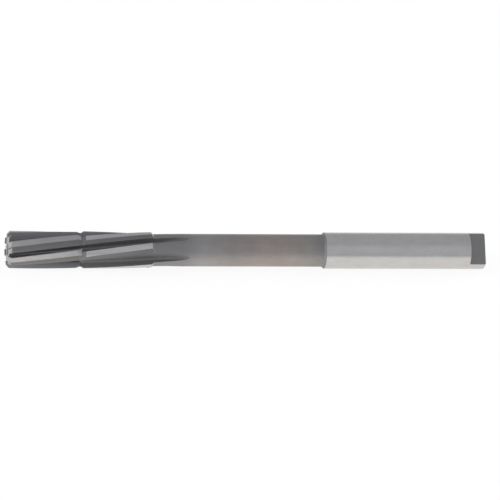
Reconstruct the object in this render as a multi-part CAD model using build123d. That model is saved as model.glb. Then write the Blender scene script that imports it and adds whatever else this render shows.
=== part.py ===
from build123d import *
import os
from math import acos, atan2, cos, degrees, hypot, radians, sin, sqrt, tan

# Machine reamer with brazed hard-metal tips. The tool axis is X: the cutting end points to -X,
# the shank to +X, and the origin is where the full shank begins. Lengths are in millimetres and
# angles in degrees. A distance "behind the tips" is counted from the front plane of the tips.

# Lengths along the axis
overall_length = 133.0
shank_length = 45.05            # full shank, with the tang
flute_length = 40.2             # end of the teeth, behind the tips
tip_length = 20.0
body_setback = 0.3              # front face of the steel, behind the tips
tang_length = 4.5

# Diameters
cutting_diameter = 10.2
front_steel_diameter = 9.8      # steel beside the tips, turned back so that only they cut
guide_diameter = 10.16          # steel lands behind the tips
neck_diameter = 8.9
shank_diameter = 10.0

# Teeth
pitch_angles = (65.0, 53.0, 73.0, 57.0, 49.0, 63.0)   # uneven all round, against chatter
first_edge_angle = 12.4             # first cutting edge at the front plane, from the tang's flats
helix_angle = 7.5                   # left-hand
face_setback_angle = 7.7            # steel face of a tooth behind the face of its tip
land_angle = 17.5                   # steel land behind the steel face
clearance_angle = 24.0              # flat behind the land, below the tangent
clearance_width = 1.2

# Flutes
flute_depth = 1.95
flute_root_radius = 0.6
flute_cutter_radius = 46.0
flute_runout_start = 39.2       # where the cutter starts to climb out, behind the tips

# Tips and the brazed joints around them
tip_thickness = 1.5
tip_height = 1.65
margin_width = 0.2              # round land at the cutting edge
relief_angle = 15.0             # flat behind the margin, below the tangent
seam = 0.12
lead_chamfer = 0.8              # 45 degrees, on the front corner of each tip
lead_relief_angle = 8.0

# Grinding groove around the teeth, behind the tips
groove_position = 20.3
groove_depth = 0.5
groove_front_run = 1.5          # long front flank
groove_back_run = 0.8
groove_root_width = 0.3

# Turned edges, tang and centre holes
front_chamfer = 1.1
guide_end_chamfer = 0.7
neck_fillet = 0.5
shank_chamfer = 0.6
end_chamfer = 0.25
tang_thickness = 5.0
tang_root_radius = 0.4
centre_pilot_diameter = 1.6
centre_cone_diameter = 3.35
centre_cone_angle = 60.0
centre_pilot_length = 2.2

# Roll about the axis as the tool lies: the tang's flats lean by this angle
lying_roll = 40.0

# Values that follow from those above
tip_x = shank_length - overall_length
end_x = shank_length
cutting_radius = cutting_diameter / 2
twist_rate = degrees(tan(radians(helix_angle)) / cutting_radius)
flute_floor = cutting_radius - flute_depth
tip_floor = cutting_radius - tip_height
clear_radius = cutting_radius + 2.0     # anything this far out is outside the tool

edge_angles = []
edge = first_edge_angle
for pitch in pitch_angles:
    edge_angles.append(edge)
    edge += pitch


# A section plane behind the tips, turned by the helix; its x axis lies at the given angle around
# the tool and angles grow against the cutting direction.
def section_plane(behind, angle):
    turn = radians(angle - twist_rate * behind)
    return Plane(
        origin=(tip_x + behind, 0, 0),
        x_dir=(0, cos(turn), sin(turn)),
        z_dir=(1, 0, 0),
    )


def polar(radius, angle):
    return radius * cos(radians(angle)), radius * sin(radians(angle))


def along(point, heading, length):
    return point[0] + length * cos(radians(heading)), point[1] + length * sin(radians(heading))


# Carry one section along the helix; each station is its distance behind the tips and how far the
# section is shifted outward there.
def helical_solid(outline, angle, stations):
    sections = []
    for behind, rise in stations:
        sections.append(section_plane(behind, angle) * outline(rise))
    return loft(sections)


def even_stations(start, end, count):
    return [(start + (end - start) * i / (count - 1), 0.0) for i in range(count)]


# Section of one flute. Its x axis is the steel face of the tooth behind it; the tooth in front
# ends in a land, a clearance flat and a back that runs tangent into the round root. The root is
# two arcs that meet halfway round it.
def flute_outline(pitch):
    land_end_angle = land_angle - pitch
    land_end = polar(guide_diameter / 2, land_end_angle)
    heading = land_end_angle + 90 + clearance_angle
    corner = along(land_end, heading, clearance_width)
    outer = along(land_end, heading + 180, 3.0)
    root = (flute_floor + flute_root_radius, -flute_root_radius)
    reach = hypot(corner[0] - root[0], corner[1] - root[1])
    bearing = degrees(atan2(corner[1] - root[1], corner[0] - root[0]))
    touch_angle = 360 + bearing - degrees(acos(flute_root_radius / reach))
    far = polar(clear_radius + 1.0, land_end_angle / 2)

    def on_root(share):
        return along(root, 90 + share * (touch_angle - 90), flute_root_radius)

    def outline(rise):
        lines = [
            Line((clear_radius, 0), on_root(0)),
            ThreePointArc(on_root(0), on_root(0.25), on_root(0.5)),
            ThreePointArc(on_root(0.5), on_root(0.75), on_root(1)),
            Line(on_root(1), corner),
            Line(corner, outer),
            Line(outer, far),
            Line(far, (clear_radius, 0)),
        ]
        return Pos(rise, 0) * make_face(lines)

    return outline


# Seat of one tip, or the tip itself when the margin is zero; x lies along the tip's face.
def seat_outline(margin):
    def outline(rise):
        low = tip_floor - margin
        return Pos((low + clear_radius) / 2, (tip_thickness + margin) / 2) * Rectangle(
            clear_radius - low, tip_thickness + margin
        )

    return outline


# Section of one tip: face, round margin, relief flat, back and floor.
def tip_outline(rise):
    margin_angle = degrees(margin_width / cutting_radius)
    margin_end = polar(cutting_radius, margin_angle)
    heading = margin_angle + 90 + relief_angle
    run = (tip_thickness - margin_end[1]) / sin(radians(heading))
    back = along(margin_end, heading, run)
    lines = [
        Line((tip_floor, 0), (cutting_radius, 0)),
        ThreePointArc((cutting_radius, 0), polar(cutting_radius, margin_angle / 2), margin_end),
        Line(margin_end, back),
        Line(back, (tip_floor, tip_thickness)),
        Line((tip_floor, tip_thickness), (tip_floor, 0)),
    ]
    return make_face(lines)


# Turn an outline of (distance behind the tips, radius) points about the axis, some of them rounded.
def turned(points, rounded=(), rounding=0.0):
    placed = [Vector(tip_x + behind, radius) for behind, radius in points]
    profile = make_face(Polyline(*placed, close=True))
    if rounded:
        corners = [(tip_x + behind, radius, 0) for behind, radius in rounded]
        profile = fillet([profile.vertices().sort_by_distance(c)[0] for c in corners], rounding)
    return revolve(profile, Axis.X)


# A centre hole with its cone, entering along X in the given direction.
def centre_hole(face_behind, direction):
    cone_radius = centre_cone_diameter / 2
    pilot_radius = centre_pilot_diameter / 2
    cone_length = (cone_radius - pilot_radius) / tan(radians(centre_cone_angle / 2))
    bottom = centre_pilot_length + cone_length
    return turned([
        (face_behind, 0),
        (face_behind, cone_radius),
        (face_behind + direction * cone_length, pilot_radius),
        (face_behind + direction * bottom, pilot_radius),
        (face_behind + direction * (bottom + pilot_radius / tan(radians(59))), 0),
    ])


# Steel body before it is fluted
front_radius = front_steel_diameter / 2
guide_radius = guide_diameter / 2
neck_radius = neck_diameter / 2
shank_radius = shank_diameter / 2
shank_start = overall_length - shank_length
neck_ends = [(flute_length, neck_radius), (shank_start - shank_chamfer, neck_radius)]
blank_outline = [
    (body_setback, 0),
    (body_setback, front_radius - front_chamfer + body_setback),
    (front_chamfer, front_radius),
    (groove_position, front_radius),
    (groove_position, guide_radius),
    (flute_length - guide_end_chamfer, guide_radius),
    neck_ends[0],
    neck_ends[1],
    (shank_start, shank_radius),
    (overall_length - end_chamfer, shank_radius),
    (overall_length, shank_radius - end_chamfer),
    (overall_length, 0),
]
blank = turned(blank_outline, neck_ends, neck_fillet)

# Grinding groove, cut through teeth and tips alike
groove_root = cutting_radius - groove_depth
groove = turned([
    (groove_position - groove_root_width / 2 - groove_front_run, cutting_radius),
    (groove_position - groove_root_width / 2, groove_root),
    (groove_position + groove_root_width / 2, groove_root),
    (groove_position + groove_root_width / 2 + groove_back_run, cutting_radius),
])

# Flutes, each climbing out of the steel along the cutter's circle
climb = flute_depth + 0.3
runout_length = sqrt(flute_cutter_radius**2 - (flute_cutter_radius - climb) ** 2)
flute_stations = even_stations(-2.0, flute_runout_start, 7)
for i in range(1, 6):
    run = runout_length * i / 5
    rise = flute_cutter_radius - sqrt(flute_cutter_radius**2 - run**2)
    flute_stations.append((flute_runout_start + run, rise))

fluted = blank - groove
for i, edge in enumerate(edge_angles):
    pitch = pitch_angles[i - 1]
    fluted -= helical_solid(flute_outline(pitch), edge + face_setback_angle, flute_stations)

# Tang: two flats with a rounded root, left and right of the axis plane
flat_cut_length = tang_length + 1.0
flat_cut_height = shank_diameter
for side in (1, -1):
    cut = Box(flat_cut_length, shank_diameter + 2, flat_cut_height)
    inner = cut.edges().filter_by(Axis.Y).sort_by(lambda e: e.center().X + side * e.center().Z)[0]
    cut = fillet(inner, tang_root_radius)
    centre_z = side * (tang_thickness / 2 + flat_cut_height / 2)
    fluted -= Pos(end_x - tang_length + flat_cut_length / 2, 0, centre_z) * cut

fluted -= centre_hole(body_setback, 1)
fluted -= centre_hole(overall_length, -1)

# One tip, its seat and the joint between them, at the first cutting edge
seat = helical_solid(seat_outline(seam), edge_angles[0], even_stations(-1.0, tip_length + seam, 8))
room = helical_solid(seat_outline(0.0), edge_angles[0], even_stations(-1.0, tip_length, 8))
tip = helical_solid(tip_outline, edge_angles[0], even_stations(0.0, tip_length, 8)) - groove
joint = (fluted & seat) - room

# Lead chamfer of the tip, falling away behind its cutting edge
lead_frame = section_plane(0.0, edge_angles[0]) * Pos(cutting_radius - lead_chamfer, 0, 0)
lead_frame = lead_frame * Rot(0, 0, lead_relief_angle) * Rot(0, 45, 0)
tip -= lead_frame * Pos(2.0, 0, 0) * Box(4.0, 8.0, 8.0)

# Seats for all tips, then every piece in its lying position
body = fluted
for edge in edge_angles:
    body -= Rot(edge - edge_angles[0], 0, 0) * seat

lying = Rot(lying_roll, 0, 0)
pieces = {"reamer_body": lying * body}
for i, edge in enumerate(edge_angles):
    around = lying * Rot(edge - edge_angles[0], 0, 0)
    pieces[f"carbide_tip_{i + 1}"] = around * tip
    pieces[f"braze_seam_{i + 1}"] = around * joint

os.makedirs("parts", exist_ok=True)
for name, piece in pieces.items():
    export_step(piece, f"parts/{name}.step")
    print(name, len(piece.solids()), round(piece.volume, 2))
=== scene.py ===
import math
import bmesh
import bpy
import numpy as np
from mathutils import Matrix, Vector


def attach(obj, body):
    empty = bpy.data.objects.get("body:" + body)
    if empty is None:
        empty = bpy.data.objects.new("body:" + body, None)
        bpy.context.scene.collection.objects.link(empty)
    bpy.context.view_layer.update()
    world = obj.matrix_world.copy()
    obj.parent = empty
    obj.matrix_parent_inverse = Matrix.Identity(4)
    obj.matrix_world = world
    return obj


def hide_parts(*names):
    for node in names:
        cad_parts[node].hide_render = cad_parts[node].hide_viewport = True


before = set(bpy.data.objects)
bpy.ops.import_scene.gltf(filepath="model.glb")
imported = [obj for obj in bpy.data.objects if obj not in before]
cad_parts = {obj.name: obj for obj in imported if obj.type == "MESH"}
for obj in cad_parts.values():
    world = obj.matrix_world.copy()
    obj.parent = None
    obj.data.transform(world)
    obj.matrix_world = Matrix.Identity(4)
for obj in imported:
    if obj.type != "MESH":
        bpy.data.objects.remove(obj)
for name in ("Cube", "Light", "Camera"):     # left over from a new file
    old = bpy.data.objects.get(name)
    if old:
        bpy.data.objects.remove(old, do_unlink=True)
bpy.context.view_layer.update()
print("frame loaded")

scene = bpy.context.scene
scene.view_settings.view_transform = "Standard"

# camera, looking across the tool and a little from its cutting end; lengths in metres, angles in degrees
shot = dict(
    yaw=10.89,            # turn towards the cutting end
    lift=38.0,            # above the level of the floor
    roll=0.167,
    distance=1.4208,
    aimX=-0.02145,        # point of the tool axis that the camera faces
    slideRight=0.00084,   # small sideways moves that frame the picture
    slideUp=0.000085,
    focalPixels=5185.0,
    framePixels=500.0,
    sensorWidth=36.0,
    clipEnd=20.0,
)


# three axes of the view: up and back lie in the plane that the lift turns, yaw swings back towards -X,
# and roll turns right and up about back
def placeCamera():
    yaw, lift, roll = (math.radians(shot[key]) for key in ("yaw", "lift", "roll"))
    level = Vector((0, -math.cos(lift), math.sin(lift)))
    back = math.cos(yaw) * level + math.sin(yaw) * Vector((-1, 0, 0))
    flatUp = Vector((0, math.sin(lift), math.cos(lift)))
    flatRight = flatUp.cross(back)
    right = math.cos(roll) * flatRight + math.sin(roll) * flatUp
    up = math.cos(roll) * flatUp - math.sin(roll) * flatRight
    spot = Vector((shot["aimX"], 0, 0)) + shot["distance"] * back
    spot += shot["slideRight"] * right + shot["slideUp"] * up
    data = bpy.data.cameras.new("photoCamera")
    data.sensor_width = shot["sensorWidth"]
    data.lens = data.sensor_width * shot["focalPixels"] / shot["framePixels"]
    data.clip_end = shot["clipEnd"]
    cam = bpy.data.objects.new("photoCamera", data)
    cam.matrix_world = Matrix((
        (right.x, up.x, back.x, spot.x),
        (right.y, up.y, back.y, spot.y),
        (right.z, up.z, back.z, spot.z),
        (0, 0, 0, 1),
    ))
    scene.collection.objects.link(cam)
    scene.camera = cam


placeCamera()
print("camera placed")

# sizes of the whole tool in millimetres and degrees; "behind" is the distance behind the tips' front
tool = dict(
    overall=133.0,
    shank=45.05,          # full shank with its tang; X is zero where it begins
    cutR=5.1,
    helix=7.5,            # left-hand
    pitches=(65.0, 53.0, 73.0, 57.0, 49.0, 63.0),
    firstEdge=52.4,       # first cutting edge at the front, from +Y towards +Z
    faceBack=7.7,         # steel face of a tooth behind the face of its tip
    tipLength=20.0,
    tipFloor=3.45,
    tipThick=1.5,
    seam=0.12,
)
groove = dict(place=20.3, depth=0.5, frontRun=1.5, backRun=0.8, rootWidth=0.3)

millimetre = 0.001
teeth = len(tool["pitches"])
edges = math.radians(tool["firstEdge"]) + np.radians(np.append(0.0, np.cumsum(tool["pitches"])[:-1]))
twist = math.tan(math.radians(tool["helix"])) / tool["cutR"]   # radians for each millimetre
tipX = tool["shank"] - tool["overall"]


# radius of the grinding groove: a flat root between two straight flanks, and far outside elsewhere
def grooveRadius(behind):
    half = groove["rootWidth"] / 2
    front = (groove["place"] - half - behind) / groove["frontRun"]
    rear = (behind - groove["place"] - half) / groove["backRun"]
    return tool["cutR"] - groove["depth"] * (1 - np.maximum(0, np.maximum(front, rear)))


# points (X, Y, Z) in metres, from stations and from sections drawn in complex numbers as Y plus i times Z
def inFrame(behind, section):
    behind = np.broadcast_to(behind, section.shape)
    return np.stack([tipX + behind, section.real, section.imag], axis=-1) * millimetre


# quads between neighbouring rows of a grid that is closed around
def ringFaces(rows, count, first=0):
    index = first + np.arange(rows * count).reshape(rows, count)
    after = np.roll(index, -1, axis=1)
    return np.stack([index[:-1], after[:-1], after[1:], index[1:]], axis=-1).reshape(-1, 4)


# triangles from one closed row to the point that ends it
def pointFaces(row, point):
    return np.stack([row, np.roll(row, -1), np.full(len(row), point)], axis=-1)


# finish of faces that have no share of any special finish and no painted shade
def plainFinish(count):
    return np.tile([0.0, 0.0, 0.0, 1.0], (count, 1))


meshing = dict(mergeWithin=3e-7, dissolveWithin=1e-7)   # metres


# mesh from points and faces, with doubles merged and folded edges kept sharp
def makePiece(name, points, faces, finishesAndShade, sharpAngle):
    mesh = bpy.data.meshes.new(name)
    mesh.from_pydata(points.reshape(-1, 3).tolist(), [], faces)
    finishAndShade = mesh.attributes.new("finishAndShade", "FLOAT_COLOR", "FACE")
    finishAndShade.data.foreach_set("color", finishesAndShade.astype(np.float32).ravel())
    work = bmesh.new()
    work.from_mesh(mesh)
    bmesh.ops.remove_doubles(work, verts=work.verts, dist=meshing["mergeWithin"])
    bmesh.ops.dissolve_degenerate(work, edges=work.edges, dist=meshing["dissolveWithin"])
    work.to_mesh(mesh)
    work.free()
    mesh.shade_smooth()
    mesh.set_sharp_from_angle(angle=math.radians(sharpAngle))
    piece = bpy.data.objects.new(name, mesh)
    scene.collection.objects.link(piece)
    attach(piece, "root")
    return piece


# steel body: one outline of six teeth carried along the helix, then round sections, then the tang
body = dict(
    setback=0.3,          # front face of the steel, behind the tips
    frontR=4.9,           # steel beside the tips
    frontChamfer=1.1,
    guideR=5.08,          # lands behind the tips
    guideChamfer=0.7,
    flutes=40.2,          # end of the teeth
    neckR=4.45,
    neckFillet=0.5,
    shoulder=0.6,
    shankR=5.0,
    endChamfer=0.25,
    land=17.5,
    clearance=24.0,
    clearanceWidth=1.2,
    fluteFloor=3.15,
    rootRadius=0.6,
    cutterRadius=46.0,
    climbStart=39.2,      # the cutter leaves the steel from here on
    climbEnd=50.2,
    tang=4.5,
    tangHalf=2.5,
    tangRoot=0.4,
    tangAngle=130.0,      # direction that the upper flat faces
    holeR=1.675,
    holeCone=60.0,
    pilotR=0.8,
    pilotLength=2.2,
    drillPoint=118.0,
    sharp=24.0,           # edges that fold by more than this stay sharp
)

# how finely the body is divided
bodyGrid = dict(
    columns=(4, 5, 6, 4, 6, 8, 4),   # clearance, back, root, rest of root, face, near and far land
    outerRun=3.0,         # how far the clearance is drawn on outside the tool
    faceReach=7.0,        # outer end of the face, outside the tool
    leastLand=0.1,        # share of a land that each of its two parts keeps
    pathSteps=2401,       # tables in which crossings are looked up
    rootSteps=2001,
    frontRings=4,
    tipRings=(18.0, 24),  # end of the even rings beside the tips, and their number
    nearGroove=(18.5, 19.0, 19.5, 19.8, 20.15, 20.45, 20.7, 20.95, 21.5),
    guideRings=(22.0, 22),   # start of the even rings along the guide lands, and their number
    guideLast=39.3,
    climbRings=(40.6, 44),   # the same along the run-outs
    filletRings=6,
    neckRings=26,
    shankRings=22,
    tangRootRings=7,
    tangRing=2.5,         # one ring on the tang, before its end
    flatColumns=(11, 20),   # share of a half turn that a flat takes
    holeSides=10,         # sides of the front centre hole for each tooth
)
aroundTooth = sum(bodyGrid["columns"])
around = teeth * aroundTooth
halfAround = around // 2
flatAround = halfAround * bodyGrid["flatColumns"][0] // bodyGrid["flatColumns"][1]


# outline of the turned blank: straight runs with a rounded corner at each end of the neck, where an arc
# that turns by an angle starts radius times the tangent of half the angle before the corner
def blankOutline():
    b = body
    shankAt = tool["overall"] - tool["shank"]
    guideEnd = b["flutes"] - b["guideChamfer"]
    frontSlope = math.atan2(b["guideR"] - b["neckR"], b["guideChamfer"])
    rearSlope = math.atan2(b["shankR"] - b["neckR"], b["shoulder"])
    frontTurn = frontSlope * np.linspace(1, 0, bodyGrid["filletRings"])
    rearTurn = rearSlope * np.linspace(1, 0, bodyGrid["filletRings"])[::-1]
    arcCentre = b["neckR"] + b["neckFillet"]
    frontStart = b["flutes"] + b["neckFillet"] * np.tan(frontSlope / 2)
    rearStart = shankAt - b["shoulder"] - b["neckFillet"] * np.tan(rearSlope / 2)
    frontArc = frontStart - b["neckFillet"] * np.sin(frontTurn)
    rearArc = rearStart + b["neckFillet"] * np.sin(rearTurn)
    step = 1e-6           # the front steel and the guide lands meet in the groove
    place = np.concatenate((
        [b["setback"], b["frontChamfer"], groove["place"], groove["place"] + step, guideEnd],
        frontArc, rearArc,
        [shankAt, tool["overall"] - b["endChamfer"], tool["overall"]]))
    radius = np.concatenate((
        [b["frontR"] - b["frontChamfer"] + b["setback"], b["frontR"], b["frontR"], b["guideR"], b["guideR"]],
        arcCentre - b["neckFillet"] * np.cos(frontTurn), arcCentre - b["neckFillet"] * np.cos(rearTurn),
        [b["shankR"], b["shankR"], b["shankR"] - b["endChamfer"]]))
    return dict(place=place, radius=radius, guideEnd=guideEnd, shankAt=shankAt,
                frontArc=frontArc, rearArc=rearArc)


blank = blankOutline()


# the blank's outline, or the groove where that is deeper
def bodyRadius(behind):
    return np.minimum(np.interp(behind, blank["place"], blank["radius"]), grooveRadius(behind))


# corners of the six flutes in their own section frames, where x is the steel face of the tooth behind;
# the back runs from the end of the clearance to where it touches the round root
def fluteCorners():
    before = np.roll(np.array(tool["pitches"]), 1)[:, None]
    landEnd = body["guideR"] * np.exp(1j * np.radians(body["land"] - before))
    heading = np.exp(1j * np.radians(body["land"] - before + 90 + body["clearance"]))
    corner = landEnd + body["clearanceWidth"] * heading
    centre = complex(body["fluteFloor"] + body["rootRadius"], -body["rootRadius"])
    span = corner - centre
    touch = np.angle(span) - np.arccos(body["rootRadius"] / np.abs(span)) + 2 * math.pi
    return dict(outer=landEnd - bodyGrid["outerRun"] * heading, corner=corner, centre=centre, touch=touch,
                touchPoint=centre + body["rootRadius"] * np.exp(1j * touch))


flutes = fluteCorners()


# path of each flute: the parameter runs 0 to 4 over the clearance, the back, the root and the face
def flutePath(u):
    f = flutes
    turn = f["touch"] + (math.pi / 2 - f["touch"]) * (u - 2)
    return np.select(
        [u < 1, u < 2, u < 3],
        [f["outer"] + (f["corner"] - f["outer"]) * u,
         f["corner"] + (f["touchPoint"] - f["corner"]) * (u - 1),
         f["centre"] + body["rootRadius"] * np.exp(1j * turn)],
        f["centre"].real + (bodyGrid["faceReach"] - f["centre"].real) * (u - 3))


# where each path enters and leaves the round blank at every station, read from a fine table of the path
# and moved on in proportion between its steps
def fluteCrossings(radius, rise):
    fine = np.linspace(0, 4, bodyGrid["pathSteps"])
    path = flutePath(np.broadcast_to(fine, (teeth, fine.size)))
    reach = np.abs(path[None] + rise[:, None, None])
    limit = radius[:, None, None]
    inside = reach < limit
    first = np.maximum(inside.argmax(-1), 1)[..., None]
    last = np.minimum(fine.size - 1 - inside[..., ::-1].argmax(-1), fine.size - 2)[..., None]

    def reachAt(index):
        return np.take_along_axis(reach, index, -1)

    step = fine[1]
    enter = fine[first] - step * (limit - reachAt(first)) / (reachAt(first - 1) - reachAt(first))
    leave = fine[last] + step * (limit - reachAt(last)) / (reachAt(last + 1) - reachAt(last))
    gone = ~inside.any(-1)[..., None]
    nearest = fine[reach.argmin(-1)][..., None]
    return np.where(gone, nearest, enter), np.where(gone, nearest, leave)


# count points from a start towards an end, without the end
def shared(start, end, count):
    return start + (end - start) * np.arange(count) / count


# sections of the fluted part: rows are stations, columns go round the teeth; a seated section has the
# tip's seat cut in where the face and the near land would be
def flutedSections(behind, seated):
    radius = bodyRadius(behind)
    limit = radius[:, None, None]
    run = np.maximum(behind - body["climbStart"], 0)
    rise = body["cutterRadius"] - np.sqrt(body["cutterRadius"] ** 2 - run ** 2)
    shift = rise[:, None, None]
    enter, leave = fluteCrossings(radius, rise)
    faceBack = math.radians(tool["faceBack"])
    tipTurn = np.exp(1j * faceBack)
    seatFloor = tool["tipFloor"] - tool["seam"]
    seatDepth = tool["tipThick"] + tool["seam"]
    # the root passes below the seat's floor as far as this
    fine = np.linspace(2, 3, bodyGrid["rootSteps"])
    onRoot = flutePath(np.broadcast_to(fine, (teeth, fine.size)))
    isBelow = (onRoot * tipTurn).real < seatFloor
    meet = fine[fine.size - 1 - isBelow[:, ::-1].argmax(-1)][None, :, None]

    def stretch(start, end, count):
        u = shared(np.clip(start, enter, leave), np.clip(end, enter, leave), count)
        point = flutePath(u) + shift
        return point * np.minimum(1, limit / np.abs(point))

    n = bodyGrid["columns"]
    exitAngle = np.angle(flutePath(leave) + shift)
    entryAngle = np.angle(flutePath(enter) + shift)
    landEnd = np.roll(entryAngle, -1, axis=1) + np.radians(tool["pitches"])[None, :, None]
    least = bodyGrid["leastLand"] * (landEnd - exitAngle)
    split = np.clip(np.arcsin(seatDepth / limit) - faceBack, exitAngle + least, landEnd - least)
    face = np.concatenate([stretch(meet, 3, n[3]), stretch(3, 4, n[4])], axis=-1)
    nearLand = limit * np.exp(1j * shared(exitAngle, split, n[5]))
    farLand = limit * np.exp(1j * shared(split, landEnd, n[6]))
    seatCorner = complex(seatFloor, seatDepth) / tipTurn
    wallTop = (np.sqrt(limit ** 2 - seatDepth ** 2) + 1j * seatDepth) / tipTurn
    seat = shared(flutePath(meet[0])[None], seatCorner, n[3] + n[4])
    seatWall = shared(seatCorner, wallTop, n[5])
    isSeat = seated[:, None, None]
    section = np.concatenate([
        stretch(0, 1, n[0]), stretch(1, 2, n[1]), stretch(2, meet, n[2]),
        np.where(isSeat, seat, face), np.where(isSeat, seatWall, nearLand), farLand], axis=-1)
    section *= np.exp(1j * (edges[None, :, None] + faceBack - twist * behind[:, None, None]))
    return section.reshape(len(behind), -1)


# stations of the fluted part, closer together where the outline changes; the flanks of the groove come
# out at the front steel and at the guide lands
def flutedStations():
    b, g, grid = body, groove, bodyGrid
    seatEnd = tool["tipLength"] + tool["seam"]
    frontShare = 1 - (tool["cutR"] - b["frontR"]) / g["depth"]
    rearShare = 1 - (tool["cutR"] - b["guideR"]) / g["depth"]
    flankFront = g["place"] - g["rootWidth"] / 2 - g["frontRun"] * frontShare
    flankRear = g["place"] + g["rootWidth"] / 2 + g["backRun"] * rearShare
    nearGroove = np.array(grid["nearGroove"])
    toSeatEnd = np.unique(np.concatenate([
        np.linspace(b["setback"], b["frontChamfer"], grid["frontRings"]),
        np.linspace(b["frontChamfer"], *grid["tipRings"]),
        nearGroove[nearGroove < seatEnd], [flankFront, seatEnd]]))
    toClimbEnd = np.unique(np.concatenate([
        [seatEnd, flankRear], nearGroove[nearGroove > seatEnd],
        np.linspace(grid["guideRings"][0], b["climbStart"], grid["guideRings"][1]),
        [grid["guideLast"], blank["guideEnd"]], blank["frontArc"],
        np.linspace(grid["climbRings"][0], b["climbEnd"], grid["climbRings"][1])]))
    seated = np.arange(len(toSeatEnd) + len(toClimbEnd)) < len(toSeatEnd)
    return np.concatenate([toSeatEnd, toClimbEnd]), seated


# sections of the shank and tang: two flats at a height, joined by two arcs of the round; the columns of a
# section that is not lowered lie on the round instead
def tangSections(radius, height, lowered):
    side = np.arccos(height / radius)[:, None]
    radius, height = radius[:, None], height[:, None]
    across = np.linspace(-1, 1, flatAround + 1)[None, :-1] * np.sin(side)
    onFlat = height + 1j * radius * across
    onRound = radius * np.exp(1j * np.arcsin(across))
    arcCount = halfAround - flatAround
    arc = side + (math.pi - 2 * side) * np.arange(arcCount)[None] / arcCount
    halfTurn = np.concatenate(
        [np.where(lowered[:, None], onFlat, onRound), radius * np.exp(1j * arc)], axis=1)
    return np.concatenate([halfTurn, -halfTurn], axis=1) * np.exp(1j * math.radians(body["tangAngle"]))


# height of the flats where the rounding of their shoulder begins
tangShoulder = body["tangHalf"] + body["tangRoot"]


# plain neck: the columns slide round, slowly at both ends, from the teeth's spacing to the tang's
def neckSections(lastSection):
    places = np.unique(np.concatenate([
        np.linspace(body["climbEnd"], blank["rearArc"][0], bodyGrid["neckRings"])[1:],
        blank["rearArc"], [blank["shankAt"]]]))
    onShank = tangSections(np.array([body["shankR"]]), np.array([tangShoulder]), np.array([False]))
    shankAngles = np.unwrap(np.angle(onShank[0]))
    startAngles = np.unwrap(np.angle(lastSection))
    startAngles = startAngles[0] + np.maximum.accumulate(startAngles - startAngles[0])
    # the tang's columns are counted from the one that has to slide least
    doubled = np.concatenate([shankAngles, shankAngles + 2 * math.pi])
    shifts = np.lib.stride_tricks.sliding_window_view(doubled, around)[:around]
    offset = np.mean(shifts - startAngles, axis=1)
    turns = np.round(offset / (2 * math.pi))
    shift = int(np.argmin(np.abs(offset - 2 * math.pi * turns)))
    endAngles = shifts[shift] - 2 * math.pi * turns[shift]
    part = np.clip((places - body["climbEnd"]) / (blank["rearArc"][0] - body["climbEnd"]), 0, 1)[:, None]
    part = part * part * (3 - 2 * part)
    angles = startAngles + (endAngles - startAngles) * part
    return places, bodyRadius(places)[:, None] * np.exp(1j * angles), shift


# shank up to the tang's shoulder, then the tang with its rounded root
def tailSections(shift):
    b = body
    wallAt = tool["overall"] - b["tang"]
    shank = np.linspace(blank["shankAt"], wallAt, bodyGrid["shankRings"])[1:]
    rootTurn = np.linspace(0, math.pi / 2, bodyGrid["tangRootRings"])
    plainTang = tool["overall"] - np.array([bodyGrid["tangRing"], b["endChamfer"], 0])
    places = np.concatenate([shank, wallAt + b["tangRoot"] * (1 - np.cos(rootTurn)), plainTang])
    heights = np.concatenate([
        np.full(len(shank), tangShoulder), tangShoulder - b["tangRoot"] * np.sin(rootTurn),
        np.full(len(plainTang), b["tangHalf"])])
    lowered = np.arange(len(places)) >= len(shank)
    return places, np.roll(tangSections(bodyRadius(places), heights, lowered), -shift, axis=1)


# a centre hole: depths and radii of its rim, the end of its cone and the end of its pilot, then its point
def centreHole():
    b = body
    cone = (b["holeR"] - b["pilotR"]) / math.tan(math.radians(b["holeCone"] / 2))
    depths = np.array([0, cone, cone + b["pilotLength"]])
    radii = np.array([b["holeR"], b["pilotR"], b["pilotR"]])
    return depths, radii[:, None], depths[-1] + b["pilotR"] / math.tan(math.radians(b["drillPoint"] / 2))


# front face in six pieces, one for each tooth, around the rings of the front centre hole; each piece
# reaches from the middle of one flute's root to the next
def frontEnd(firstSection, base):
    sides = bodyGrid["holeSides"]
    n = bodyGrid["columns"]
    anchor = np.arange(teeth) * aroundTooth + n[0] + n[1] + n[2] // 2
    angles = np.angle(firstSection[anchor])
    steps = np.mod(np.diff(angles), 2 * math.pi)
    angles = angles[0] + np.concatenate([[0], np.cumsum(steps), [2 * math.pi]])
    fan = (angles[:-1, None] + np.diff(angles)[:, None] * np.arange(sides) / sides).ravel()
    depths, radii, point = centreHole()
    rings = inFrame(body["setback"] + depths[:, None], radii * np.exp(1j * fan))
    points = np.concatenate([
        rings.reshape(-1, 3), inFrame(np.array([body["setback"] + point]), np.zeros(1, complex))])
    ends = np.append(anchor[1:], anchor[0] + around)
    faces = []
    for tooth in range(teeth):
        outer = np.arange(anchor[tooth], ends[tooth] + 1) % around
        inner = base + (tooth * sides + np.arange(sides + 1)) % len(fan)
        faces.append(np.concatenate([inner, outer[::-1]]).tolist())
    faces += ringFaces(len(depths), len(fan), base)[:, ::-1].tolist()
    deepRow = base + (len(depths) - 1) * len(fan) + np.arange(len(fan))
    faces += pointFaces(deepRow, base + len(points) - 1)[:, [1, 0, 2]].tolist()
    return points, faces


# finishes that are mixed, as shares of ground steel and, in the root, of milled steel, and the painted shade
# of the groove
mixedFinish = dict(
    groove=0.1,
    # painted shade: the groove's colour is darkened to stand in for the shade in its recess
    groovePaintedShade=0.74,     # the groove is darker by this factor
    grooveBand=0.17,      # counted from this far outside the front steel
    grooveFront=1.0,      # the steel beside the tips counts as milled up to this far before the groove
    guideEnd=0.45,
    rim=0.35,
    rimEnd=0.83,          # bright part of the front chamfer ends here
    front=0.4,
    root=0.65,
)
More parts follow.
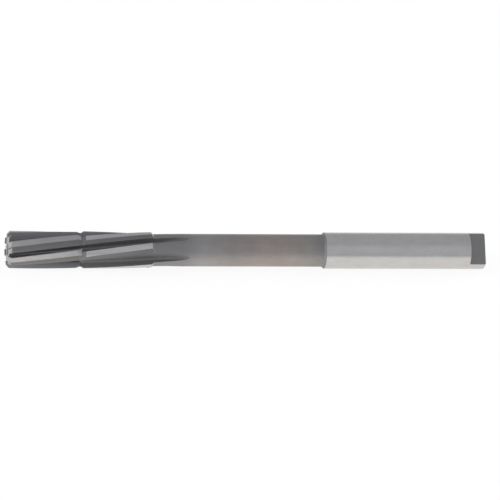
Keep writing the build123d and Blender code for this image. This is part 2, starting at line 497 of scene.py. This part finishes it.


# finish and painted shade of the faces in the grid: red is ground, green milled and blue the tang's flats,
# what has none of them is turned, and alpha is painted shade that darkens the colour in the groove
def gridFinishAndShade(place, seated, shift, holeRows):
    mix = mixedFinish
    rows = len(place) - 1
    row = np.repeat(np.arange(rows), around)
    middle = np.repeat((place[:-1] + place[1:]) / 2, around)
    column = np.tile(np.repeat(np.arange(len(bodyGrid["columns"])), bodyGrid["columns"]), teeth * rows)
    root, nearLand, farLand = 2, 5, 6
    besideSeat = np.concatenate([seated, np.zeros(rows, bool)])[row]
    besideTip = besideSeat & (column == farLand) & (middle < groove["place"] - mix["grooveFront"])
    isRim = besideTip & (middle < mix["rimEnd"])
    isMilled = (((column < nearLand) & (middle < body["climbEnd"])) | besideTip) & ~isRim
    isRoot = isMilled & (column == root) & (middle < groove["place"])
    isLand = ~isMilled & (middle < body["flutes"]) & ~(besideSeat & (column == nearLand))
    inGroove = isLand & (grooveRadius(middle) < body["frontR"] + mix["grooveBand"])
    isGuideEnd = isLand & (middle > blank["guideEnd"])
    isShank = (middle > blank["shankAt"]) & (row < rows - holeRows)
    onFlat = np.roll(np.tile(np.arange(halfAround) < flatAround, 2), -shift)
    isFlat = isShank & np.tile(onFlat, rows) & (middle >= tool["overall"] - body["tang"])
    ground = np.select(
        [isRim, isRoot, inGroove, isGuideEnd, isLand | (isShank & ~isFlat)],
        [mix["rim"], 1.0, mix["groove"], mix["guideEnd"], 1.0], 0.0)
    milled = isMilled * np.where(isRoot, mix["root"], 1.0)
    # the alpha is painted shade, darker in the groove to stand in for the shade of its recess
    return np.stack([ground, milled, isFlat, np.where(inGroove, mix["groovePaintedShade"], 1.0)], axis=-1)


# rows of sections from the front of the steel to the bottom of the end hole, closed there by the point of
# that hole and in front by the front face
def buildBody():
    behind, seated = flutedStations()
    fluted = flutedSections(behind, seated)
    neck, neckRound, shift = neckSections(fluted[-1])
    tail, tailRound = tailSections(shift)
    # the rings of the centre hole close the end face
    depths, radii, point = centreHole()
    hole = radii * (tailRound[-1] / np.abs(tailRound[-1]))
    place = np.concatenate([behind, neck, tail, tool["overall"] - depths])
    sections = np.concatenate([fluted, neckRound, tailRound, hole])
    points = inFrame(place[:, None], sections).reshape(-1, 3)
    faces = ringFaces(len(place), around).tolist()
    points = np.concatenate([points, inFrame(np.array([tool["overall"] - point]), np.zeros(1, complex))])
    faces += pointFaces((len(place) - 1) * around + np.arange(around), len(points) - 1).tolist()
    frontPoints, frontFaces = frontEnd(fluted[0], len(points))
    frontFinish = plainFinish(len(frontFaces))
    frontFinish[:teeth, 0] = mixedFinish["front"]
    finishesAndShade = np.concatenate([
        gridFinishAndShade(place, seated, shift, len(depths)), plainFinish(around), frontFinish])
    piece = makePiece("steelBody", np.concatenate([points, frontPoints]), faces + frontFaces, finishesAndShade,
                      body["sharp"])
    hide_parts("reamer_body")
    return piece


steelBody = buildBody()
print("steel body built:", len(steelBody.data.polygons), "faces")

# one tip: face, round margin, relief flat, back and floor carried along the helix; its top is the lowest
# of that outline, the groove and the plane of the lead chamfer, and rows of the grid follow those edges
tip = dict(
    margin=0.2,           # round land at the cutting edge
    relief=15.0,
    lead=0.8,
    leadRelief=8.0,
    rows=(5, 30, 6),      # along the lead chamfer, the plain part and the groove
    topColumns=(3, 9),    # across the margin and the relief
    sideColumns=5,
    sharp=20.0,
)


# height of the tip's top over y: the round of the cutting radius on the margin, then the relief's line
def tipTop(y):
    marginAngle = tip["margin"] / tool["cutR"]
    end = tool["cutR"] * np.exp(1j * marginAngle)
    slope = marginAngle + math.pi / 2 + math.radians(tip["relief"])
    flat = end.real + (y - end.imag) / math.tan(slope)
    return np.where(y < end.imag, np.sqrt(tool["cutR"] ** 2 - y ** 2), flat)


# columns go round the section: face upwards, top backwards, back downwards, floor forwards; each point
# lies at a share of the way from the floor to the top, turned by the helix
def tipPoints(edgeAngle):
    marginY = tool["cutR"] * math.sin(tip["margin"] / tool["cutR"])
    thick, floor = tool["tipThick"], tool["tipFloor"]
    topY = np.concatenate([np.linspace(0, marginY, tip["topColumns"][0], endpoint=False),
                           np.linspace(marginY, thick, tip["topColumns"][1])])
    k = tip["sideColumns"]
    up = np.linspace(0, 1, k, endpoint=False)
    y = np.concatenate([np.zeros(k), topY, np.full(k - 1, thick), thick * (1 - up)])
    lift = np.concatenate([up, np.ones(len(topY)), 1 - up[1:], np.zeros(k)])
    top = tipTop(y)
    # where the lead chamfer ends and where the groove begins, in each column
    tilt = math.radians(tip["leadRelief"])
    leadEnd = (top - tool["cutR"] + tip["lead"] + y * math.tan(tilt)) * math.cos(tilt)
    flank = groove["place"] - groove["rootWidth"] / 2 - groove["frontRun"]
    grooveAt = flank + groove["frontRun"] / groove["depth"] * (tool["cutR"] - np.hypot(top, y))
    leadRows, plainRows, grooveRows = tip["rows"]
    step = np.concatenate([np.linspace(0, 1, leadRows, endpoint=False),
                           np.linspace(1, 2, plainRows, endpoint=False),
                           np.linspace(2, 3, grooveRows)])[:, None]
    behind = np.select(
        [step < 1, step < 2],
        [leadEnd * step, leadEnd + (grooveAt - leadEnd) * (step - 1)],
        grooveAt + (tool["tipLength"] - grooveAt) * (step - 2))
    leadTop = tool["cutR"] - tip["lead"] - y * math.tan(tilt) + behind / math.cos(tilt)
    grooveTop = np.sqrt(np.maximum(grooveRadius(behind) ** 2 - y ** 2, 0))
    x = floor + (np.minimum(np.minimum(top, leadTop), grooveTop) - floor) * lift
    return inFrame(behind, (x + 1j * y) * np.exp(1j * (edgeAngle - twist * behind)))


# rows of one tip's grid, closed by a face at each end
def buildTip(number):
    points = tipPoints(edges[number])
    rows, count = points.shape[:2]
    faces = ringFaces(rows, count).tolist()
    faces.append(np.arange(count)[::-1].tolist())
    faces.append(((rows - 1) * count + np.arange(count)).tolist())
    # the top is ground, the other sides are not
    firstTop = tip["sideColumns"]
    lastTop = firstTop + sum(tip["topColumns"]) - 1
    isTop = (np.arange(count) >= firstTop) & (np.arange(count) < lastTop)
    finishesAndShade = plainFinish(len(faces))
    finishesAndShade[:(rows - 1) * count, 0] = np.tile(isTop, rows - 1)
    piece = makePiece(f"hardTip{number + 1}", points, faces, finishesAndShade, tip["sharp"])
    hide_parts(f"carbide_tip_{number + 1}")
    return piece


hardTips = [buildTip(number) for number in range(teeth)]
print("tips built")


# shader nodes of one tree; a value that is a socket is linked, anything else is set
class nodeBench:
    def __init__(self, tree):
        self.nodes, self.links = tree.nodes, tree.links

    def put(self, socket, value):
        if isinstance(value, bpy.types.NodeSocket):
            self.links.new(value, socket)
        else:
            socket.default_value = value

    def add(self, kind, given=None, **settings):
        node = self.nodes.new(kind)
        for key, value in settings.items():
            setattr(node, key, value)
        for key, value in (given or {}).items():
            self.put(node.inputs[key], value)
        return node

    def maths(self, operation, a, b=0.0, c=0.0):
        return self.add("ShaderNodeMath", {0: a, 1: b, 2: c}, operation=operation).outputs[0]

    def blend(self, share, a, b, kind="MIX"):
        given = {"Factor": share, 6: a, 7: b}
        return self.add("ShaderNodeMix", given, data_type="RGBA", blend_type=kind).outputs[2]

    # noise with its own scale on each axis
    def grain(self, vector, scale, detail):
        mapped = self.add("ShaderNodeMapping", {"Vector": vector, "Scale": scale}, vector_type="POINT")
        given = {"Vector": mapped.outputs[0], "Scale": 1.0, "Detail": detail, "Roughness": 0.6}
        return self.add("ShaderNodeTexNoise", given).outputs["Fac"]

    # a range of values, usually the middle of a noise, moved to another range
    def spread(self, value, low, high, fromLow=0.3, fromHigh=0.7):
        given = {"Value": value, "From Min": fromLow, "From Max": fromHigh, "To Min": low, "To Max": high}
        return self.add("ShaderNodeMapRange", given).outputs["Result"]

    def ramp(self, value, stops):
        node = self.add("ShaderNodeValToRGB", {"Fac": value})
        marks = node.color_ramp.elements
        marks[0].position, marks[0].color = stops[0][0], (*stops[0][1], 1)
        marks[1].position, marks[1].color = stops[-1][0], (*stops[-1][1], 1)
        for place, colour in stops[1:-1]:
            marks.new(place).color = (*colour, 1)
        return node.outputs["Color"]

    # the piece turned back by the helix, so that marks along X follow the teeth
    def untwisted(self, where, alongX):
        angle = self.maths("MULTIPLY", alongX, twist / millimetre)
        given = {"Vector": where, "Angle": angle}
        return self.add("ShaderNodeVectorRotate", given, rotation_type="X_AXIS").outputs[0]

    def bump(self, strength, distance, height):
        given = {"Strength": strength, "Distance": distance, "Height": height}
        return self.add("ShaderNodeBump", given).outputs[0]


# a new metal with its bench, its surface, the place on the piece and the distance along X
def newMetal(name):
    mat = bpy.data.materials.new(name)
    mat.use_nodes = True
    bench = nodeBench(mat.node_tree)
    surface = mat.node_tree.nodes["Principled BSDF"].inputs
    surface["Metallic"].default_value = 1.0
    where = bench.add("ShaderNodeTexCoord").outputs["Object"]
    alongX = bench.add("ShaderNodeSeparateXYZ", {"Vector": where}).outputs["X"]
    return mat, bench, surface, where, alongX


# tool steel: bright where it is ground, darker and duller where it is only turned or milled; marks are
# (scale on X, Y and Z, detail), and pairs are low and high
steelLook = dict(
    ground=(0.58, 0.56, 0.54),
    milled=(0.29, 0.283, 0.281),
    flat=(0.276, 0.269, 0.263),
    # turned neck, from the flutes to the shoulder: (behind the tips, colour)
    turned=(
        (40, (0.315, 0.302, 0.296)),
        (48, (0.328, 0.314, 0.306)),
        (54, (0.41, 0.39, 0.377)),
        (62, (0.386, 0.353, 0.33)),
        (70, (0.428, 0.374, 0.342)),
        (79, (0.422, 0.372, 0.342)),
        (84, (0.374, 0.346, 0.326)),
        (87, (0.318, 0.303, 0.294)),
    ),
    groundRough=(0.26, 0.28),
    turnedRough=(0.48, 0.58),
    milledRough=(0.62, 0.78),
    flatRough=(0.34, 0.44),
    rings=((9000, 90, 90), 4.0),            # around the axis, from grinding and turning
    fineRings=((30000, 160, 160), 2.0),
    streaks=((45, 3600, 3600), 4.0),        # along the helix, from the flute cutter
    clouds=((260, 700, 700), 3.0),
    cloudShade=(0.95, 1.05),
    markShade=(0.06, 0.015),                # on turned and on ground steel
    bump=(0.12, 0.02),
    bumpDistance=0.00002,
)


def steelMaterial():
    look = steelLook
    mat, bench, surface, where, alongX = newMetal("toolSteel")
    spread, blend = bench.spread, bench.blend
    finishAndShade = bench.add("ShaderNodeAttribute", attribute_name="finishAndShade").outputs
    masks = bench.add("ShaderNodeSeparateColor", {"Color": finishAndShade["Color"]}).outputs
    ground, milled, flat = masks["Red"], masks["Green"], masks["Blue"]
    rings = bench.grain(where, *look["rings"])
    fineRings = bench.grain(where, *look["fineRings"])
    streaks = bench.grain(bench.untwisted(where, alongX), *look["streaks"])
    clouds = bench.grain(where, *look["clouds"])
    place = spread(alongX, 0.0, 1.0, tipX * millimetre, tool["shank"] * millimetre)
    turned = bench.ramp(place, [(at / tool["overall"], colour) for at, colour in look["turned"]])
    colour = blend(ground, turned, (*look["ground"], 1))
    colour = blend(milled, colour, (*look["milled"], 1))
    colour = blend(flat, colour, (*look["flat"], 1))
    marks = spread(blend(milled, rings, streaks), -1.0, 1.0)
    depth = spread(ground, *look["markShade"], 0.0, 1.0)
    shade = bench.maths("MULTIPLY_ADD", marks, depth, spread(clouds, *look["cloudShade"]))
    # the alpha of the attribute is painted shade that darkens the groove
    shade = bench.maths("MULTIPLY", shade, finishAndShade["Alpha"])
    bench.put(surface["Base Color"], blend(1.0, colour, shade, "MULTIPLY"))
    rough = blend(ground, spread(rings, *look["turnedRough"]), spread(rings, *look["groundRough"]))
    rough = blend(milled, rough, spread(streaks, *look["milledRough"]))
    rough = blend(flat, rough, spread(clouds, *look["flatRough"]))
    bench.put(surface["Roughness"], rough)
    height = blend(milled, bench.maths("ADD", rings, fineRings), streaks)
    strength = spread(ground, *look["bump"], 0.0, 1.0)
    bench.put(surface["Normal"], bench.bump(strength, look["bumpDistance"], height))
    return mat


# hard metal of the tips: ground lands, duller faces, and fine marks along the helix on both
tipLook = dict(
    land=(0.505, 0.487, 0.475),
    face=(0.36, 0.355, 0.355),
    landRough=(0.42, 0.5),
    faceRough=(0.5, 0.62),
    streaks=((60, 5200, 5200), 3.0),
    streakShade=(0.95, 1.05),
    clouds=((400, 900, 900), 3.0),
    cloudShade=(0.96, 1.04),
    bump=0.08,
    bumpDistance=0.00002,
)


def tipMaterial():
    look = tipLook
    mat, bench, surface, where, alongX = newMetal("hardMetal")
    spread, blend = bench.spread, bench.blend
    finishAndShade = bench.add("ShaderNodeAttribute", attribute_name="finishAndShade").outputs["Color"]
    land = bench.add("ShaderNodeSeparateColor", {"Color": finishAndShade}).outputs["Red"]
    streaks = bench.grain(bench.untwisted(where, alongX), *look["streaks"])
    clouds = bench.grain(where, *look["clouds"])
    colour = blend(land, (*look["face"], 1), (*look["land"], 1))
    streakShade = spread(streaks, *look["streakShade"])
    shade = bench.maths("MULTIPLY", streakShade, spread(clouds, *look["cloudShade"]))
    bench.put(surface["Base Color"], blend(1.0, colour, shade, "MULTIPLY"))
    rough = blend(land, spread(streaks, *look["faceRough"]), spread(streaks, *look["landRough"]))
    bench.put(surface["Roughness"], rough)
    bench.put(surface["Normal"], bench.bump(look["bump"], look["bumpDistance"], streaks))
    return mat


# brazed joints: dull brass with darker patches where the flux burned
brazeLook = dict(
    bright=(0.47, 0.39, 0.28),
    burnt=(0.26, 0.21, 0.17),
    burntFrom=(0.4, 0.75),
    rough=(0.34, 0.5),
    patches=((700, 1500, 1500), 4.0),
    bump=0.2,
    bumpDistance=0.00003,
)


def brazeMaterial():
    look = brazeLook
    mat, bench, surface, where, _ = newMetal("brazeMetal")
    patches = bench.grain(where, *look["patches"])
    burnt = bench.spread(patches, 0.0, 1.0, *look["burntFrom"])
    bench.put(surface["Base Color"], bench.blend(burnt, (*look["bright"], 1), (*look["burnt"], 1)))
    bench.put(surface["Roughness"], bench.spread(patches, *look["rough"]))
    bench.put(surface["Normal"], bench.bump(look["bump"], look["bumpDistance"], patches))
    return mat


steelBody.data.materials.append(steelMaterial())
tipMetal = tipMaterial()
for piece in hardTips:
    piece.data.materials.append(tipMetal)
brazeMetal = brazeMaterial()
for name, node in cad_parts.items():
    if name.startswith("braze_seam"):
        node.data.materials.clear()
        node.data.materials.append(brazeMetal)
print("metals made")

# white floor under an even grey sky, with soft lamps towards both ends of the tool; a panel of the sky is
# (direction, cosine where it starts, cosine where it is full, gain)
stage = dict(
    half=2.5,             # half the width of the floor
    level=-tool["cutR"] * millimetre,
    glow=0.92,            # share of the floor that shows plain white
    white=0.92,
    lampPower=26.0,
    lampSize=2.0,
    lamps=(("softLeft", (-1.6, -0.4, 1.3)), ("softRight", (1.6, 0.3, 1.3))),
    sky=0.5,
    skyTint=(0.962, 0.997, 1.07),
    panels=(
        ((0, -0.77, 0.64), 0.72, 1.0, 0.13),       # a little brighter in front
        ((-1, -0.12, 0.12), 0.8, 0.96, 0.8),       # bright beyond the cutting end
    ),
)


# the floor shows mostly plain white to the camera and in reflections, and is matte for all other light
def floorMaterial():
    mat = bpy.data.materials.new("paleFloor")
    mat.use_nodes = True
    mat.node_tree.nodes.clear()
    bench = nodeBench(mat.node_tree)
    path = bench.add("ShaderNodeLightPath").outputs
    seen = bench.maths("MAXIMUM", path["Is Camera Ray"], path["Is Glossy Ray"])
    seen = bench.maths("MAXIMUM", seen, path["Is Transmission Ray"])
    share = bench.maths("MULTIPLY", seen, stage["glow"])
    white = (stage["white"], stage["white"], stage["white"], 1)
    matte = bench.add("ShaderNodeBsdfDiffuse", {"Color": white}).outputs[0]
    glow = bench.add("ShaderNodeEmission").outputs[0]
    mix = bench.add("ShaderNodeMixShader", {"Fac": share, 1: matte, 2: glow}).outputs[0]
    bench.add("ShaderNodeOutputMaterial", {"Surface": mix})
    return mat


def buildFloor():
    h, z = stage["half"], stage["level"]
    mesh = bpy.data.meshes.new("floor")
    mesh.from_pydata([(-h, -h, z), (h, -h, z), (h, h, z), (-h, h, z)], [], [(0, 1, 2, 3)])
    mesh.materials.append(floorMaterial())
    floor = bpy.data.objects.new("floor", mesh)
    scene.collection.objects.link(floor)


# strength of the sky: an even level, and for each panel a smooth step over the cosine to its direction
def buildSky():
    world = bpy.data.worlds.new("studio")
    world.use_nodes = True
    scene.world = world
    bench = nodeBench(world.node_tree)
    sky = world.node_tree.nodes["Background"].inputs
    sky["Color"].default_value = (*stage["skyTint"], 1)
    facing = bench.add("ShaderNodeTexCoord").outputs["Generated"]
    level = stage["sky"]
    for towards, start, full, gain in stage["panels"]:
        given = {0: facing, 1: Vector(towards).normalized()}
        cosine = bench.add("ShaderNodeVectorMath", given, operation="DOT_PRODUCT").outputs["Value"]
        given = {"Value": cosine, "From Min": start, "From Max": full, "To Min": 0.0, "To Max": gain}
        fade = bench.add("ShaderNodeMapRange", given, interpolation_type="SMOOTHSTEP").outputs["Result"]
        level = bench.maths("ADD", fade, level)
    bench.put(sky["Strength"], level)


def buildLamps():
    for name, place in stage["lamps"]:
        lamp = bpy.data.lights.new(name, "AREA")
        lamp.energy = stage["lampPower"]
        lamp.size = stage["lampSize"]
        holder = bpy.data.objects.new(name, lamp)
        holder.location = place
        holder.visible_glossy = False      # lights the floor, but leaves no patch on the metal
        holder.rotation_euler = (-Vector(place)).to_track_quat("-Z", "Y").to_euler()
        scene.collection.objects.link(holder)


buildFloor()
buildSky()
buildLamps()
print("stage set")
